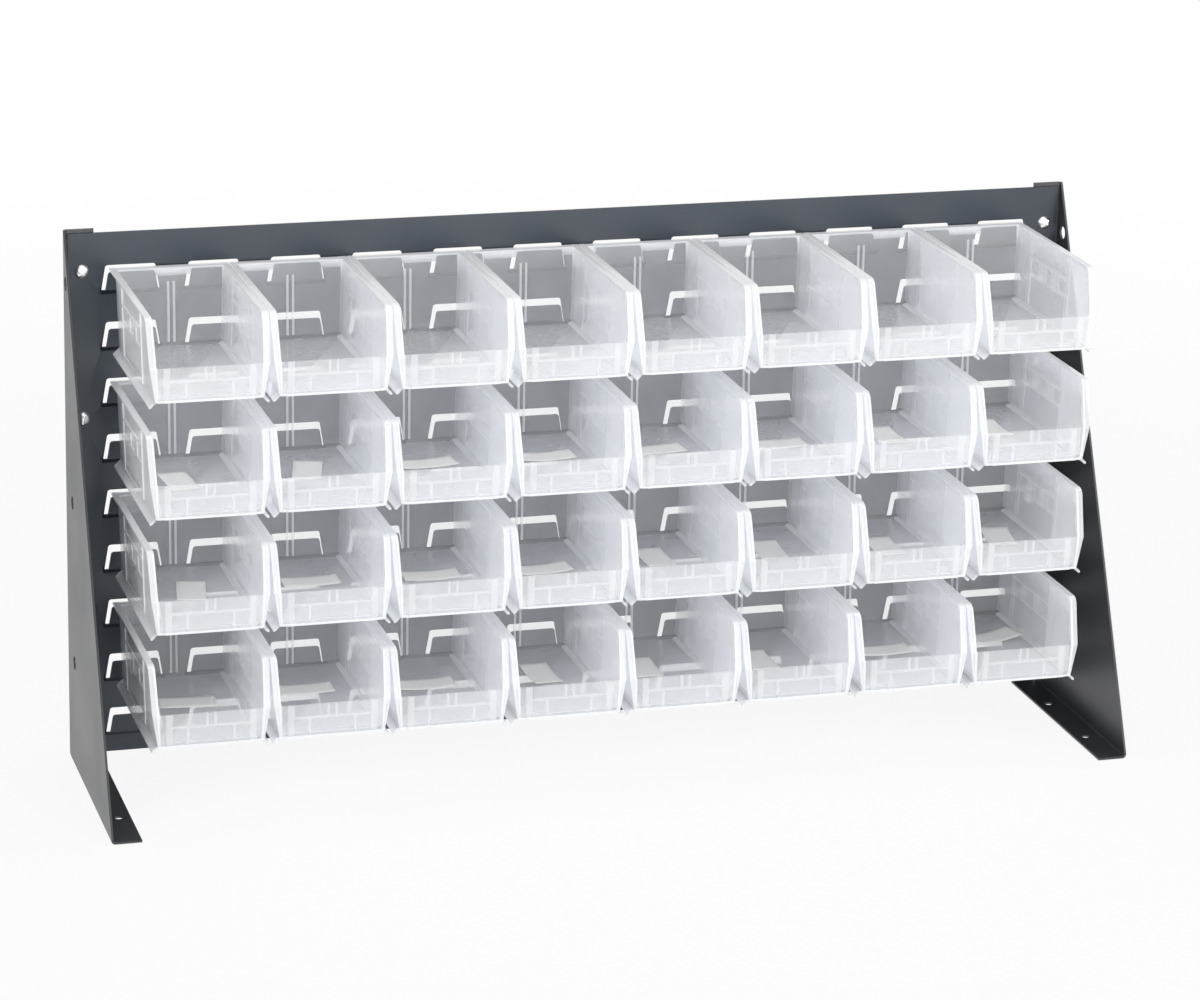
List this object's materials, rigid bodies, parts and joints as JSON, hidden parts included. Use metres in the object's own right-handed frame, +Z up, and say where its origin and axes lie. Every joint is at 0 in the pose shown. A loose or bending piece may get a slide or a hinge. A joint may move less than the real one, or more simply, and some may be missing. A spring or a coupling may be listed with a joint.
{
  "type": "bin storage rack",
  "caption": "Bench rack with a louvered steel panel between two bent end plates, and rows of clear open-front bins that hook over the louvers and lift off.",
  "frame": {"origin": "on the bench, under the middle of the rack's box", "axes": "+X to the right along the panel, +Y to the back, +Z up; the bins open to -Y"},
  "size_m": [0.9222, 0.2256, 0.4826],
  "materials": {
    "panel_paint": "semi-gloss dark slate paint",
    "plate_paint": "semi-gloss dark slate paint",
    "zinc": "bright zinc",
    "clear_bin": "milky clear moulded plastic"
  },
  "bodies": {
    "rack": {"louver_panel": "panel_paint", "left_end_plate": "plate_paint", "right_end_plate": "plate_paint", "panel_screws": "zinc", "panel_lock_washers": "zinc", "panel_nuts": "zinc"},
    "bin_r1_c1": {"bin_r1_c1": "clear_bin"},
    "bin_r1_c2": {"bin_r1_c2": "clear_bin"},
    "bin_r1_c3": {"bin_r1_c3": "clear_bin"},
    "bin_r1_c4": {"bin_r1_c4": "clear_bin"},
    "bin_r1_c5": {"bin_r1_c5": "clear_bin"},
    "bin_r1_c6": {"bin_r1_c6": "clear_bin"},
    "bin_r1_c7": {"bin_r1_c7": "clear_bin"},
    "bin_r1_c8": {"bin_r1_c8": "clear_bin"},
    "bin_r2_c1": {"bin_r2_c1": "clear_bin"},
    "bin_r2_c2": {"bin_r2_c2": "clear_bin"},
    "bin_r2_c3": {"bin_r2_c3": "clear_bin"},
    "bin_r2_c4": {"bin_r2_c4": "clear_bin"},
    "bin_r2_c5": {"bin_r2_c5": "clear_bin"},
    "bin_r2_c6": {"bin_r2_c6": "clear_bin"},
    "bin_r2_c7": {"bin_r2_c7": "clear_bin"},
    "bin_r2_c8": {"bin_r2_c8": "clear_bin"},
    "bin_r3_c1": {"bin_r3_c1": "clear_bin"},
    "bin_r3_c2": {"bin_r3_c2": "clear_bin"},
    "bin_r3_c3": {"bin_r3_c3": "clear_bin"},
    "bin_r3_c4": {"bin_r3_c4": "clear_bin"},
    "bin_r3_c5": {"bin_r3_c5": "clear_bin"},
    "bin_r3_c6": {"bin_r3_c6": "clear_bin"},
    "bin_r3_c7": {"bin_r3_c7": "clear_bin"},
    "bin_r3_c8": {"bin_r3_c8": "clear_bin"},
    "bin_r4_c1": {"bin_r4_c1": "clear_bin"},
    "bin_r4_c2": {"bin_r4_c2": "clear_bin"},
    "bin_r4_c3": {"bin_r4_c3": "clear_bin"},
    "bin_r4_c4": {"bin_r4_c4": "clear_bin"},
    "bin_r4_c5": {"bin_r4_c5": "clear_bin"},
    "bin_r4_c6": {"bin_r4_c6": "clear_bin"},
    "bin_r4_c7": {"bin_r4_c7": "clear_bin"},
    "bin_r4_c8": {"bin_r4_c8": "clear_bin"}
  },
  "joints": [
    {"name": "lift_r1_c1", "type": "slide", "parent": "rack", "child": "bin_r1_c1", "axis": [0, 0, 1], "range_m": [0, 0.02]},
    {"name": "lift_r1_c2", "type": "slide", "parent": "rack", "child": "bin_r1_c2", "axis": [0, 0, 1], "range_m": [0, 0.02]},
    {"name": "lift_r1_c3", "type": "slide", "parent": "rack", "child": "bin_r1_c3", "axis": [0, 0, 1], "range_m": [0, 0.02]},
    {"name": "lift_r1_c4", "type": "slide", "parent": "rack", "child": "bin_r1_c4", "axis": [0, 0, 1], "range_m": [0, 0.02]},
    {"name": "lift_r1_c5", "type": "slide", "parent": "rack", "child": "bin_r1_c5", "axis": [0, 0, 1], "range_m": [0, 0.02]},
    {"name": "lift_r1_c6", "type": "slide", "parent": "rack", "child": "bin_r1_c6", "axis": [0, 0, 1], "range_m": [0, 0.02]},
    {"name": "lift_r1_c7", "type": "slide", "parent": "rack", "child": "bin_r1_c7", "axis": [0, 0, 1], "range_m": [0, 0.02]},
    {"name": "lift_r1_c8", "type": "slide", "parent": "rack", "child": "bin_r1_c8", "axis": [0, 0, 1], "range_m": [0, 0.02]},
    {"name": "lift_r2_c1", "type": "slide", "parent": "rack", "child": "bin_r2_c1", "axis": [0, 0, 1], "range_m": [0, 0.02]},
    {"name": "lift_r2_c2", "type": "slide", "parent": "rack", "child": "bin_r2_c2", "axis": [0, 0, 1], "range_m": [0, 0.02]},
    {"name": "lift_r2_c3", "type": "slide", "parent": "rack", "child": "bin_r2_c3", "axis": [0, 0, 1], "range_m": [0, 0.02]},
    {"name": "lift_r2_c4", "type": "slide", "parent": "rack", "child": "bin_r2_c4", "axis": [0, 0, 1], "range_m": [0, 0.02]},
    {"name": "lift_r2_c5", "type": "slide", "parent": "rack", "child": "bin_r2_c5", "axis": [0, 0, 1], "range_m": [0, 0.02]},
    {"name": "lift_r2_c6", "type": "slide", "parent": "rack", "child": "bin_r2_c6", "axis": [0, 0, 1], "range_m": [0, 0.02]},
    {"name": "lift_r2_c7", "type": "slide", "parent": "rack", "child": "bin_r2_c7", "axis": [0, 0, 1], "range_m": [0, 0.02]},
    {"name": "lift_r2_c8", "type": "slide", "parent": "rack", "child": "bin_r2_c8", "axis": [0, 0, 1], "range_m": [0, 0.02]},
    {"name": "lift_r3_c1", "type": "slide", "parent": "rack", "child": "bin_r3_c1", "axis": [0, 0, 1], "range_m": [0, 0.02]},
    {"name": "lift_r3_c2", "type": "slide", "parent": "rack", "child": "bin_r3_c2", "axis": [0, 0, 1], "range_m": [0, 0.02]},
    {"name": "lift_r3_c3", "type": "slide", "parent": "rack", "child": "bin_r3_c3", "axis": [0, 0, 1], "range_m": [0, 0.02]},
    {"name": "lift_r3_c4", "type": "slide", "parent": "rack", "child": "bin_r3_c4", "axis": [0, 0, 1], "range_m": [0, 0.02]},
    {"name": "lift_r3_c5", "type": "slide", "parent": "rack", "child": "bin_r3_c5", "axis": [0, 0, 1], "range_m": [0, 0.02]},
    {"name": "lift_r3_c6", "type": "slide", "parent": "rack", "child": "bin_r3_c6", "axis": [0, 0, 1], "range_m": [0, 0.02]},
    {"name": "lift_r3_c7", "type": "slide", "parent": "rack", "child": "bin_r3_c7", "axis": [0, 0, 1], "range_m": [0, 0.02]},
    {"name": "lift_r3_c8", "type": "slide", "parent": "rack", "child": "bin_r3_c8", "axis": [0, 0, 1], "range_m": [0, 0.02]},
    {"name": "lift_r4_c1", "type": "slide", "parent": "rack", "child": "bin_r4_c1", "axis": [0, 0, 1], "range_m": [0, 0.02]},
    {"name": "lift_r4_c2", "type": "slide", "parent": "rack", "child": "bin_r4_c2", "axis": [0, 0, 1], "range_m": [0, 0.02]},
    {"name": "lift_r4_c3", "type": "slide", "parent": "rack", "child": "bin_r4_c3", "axis": [0, 0, 1], "range_m": [0, 0.02]},
    {"name": "lift_r4_c4", "type": "slide", "parent": "rack", "child": "bin_r4_c4", "axis": [0, 0, 1], "range_m": [0, 0.02]},
    {"name": "lift_r4_c5", "type": "slide", "parent": "rack", "child": "bin_r4_c5", "axis": [0, 0, 1], "range_m": [0, 0.02]},
    {"name": "lift_r4_c6", "type": "slide", "parent": "rack", "child": "bin_r4_c6", "axis": [0, 0, 1], "range_m": [0, 0.02]},
    {"name": "lift_r4_c7", "type": "slide", "parent": "rack", "child": "bin_r4_c7", "axis": [0, 0, 1], "range_m": [0, 0.02]},
    {"name": "lift_r4_c8", "type": "slide", "parent": "rack", "child": "bin_r4_c8", "axis": [0, 0, 1], "range_m": [0, 0.02]}
  ]
}
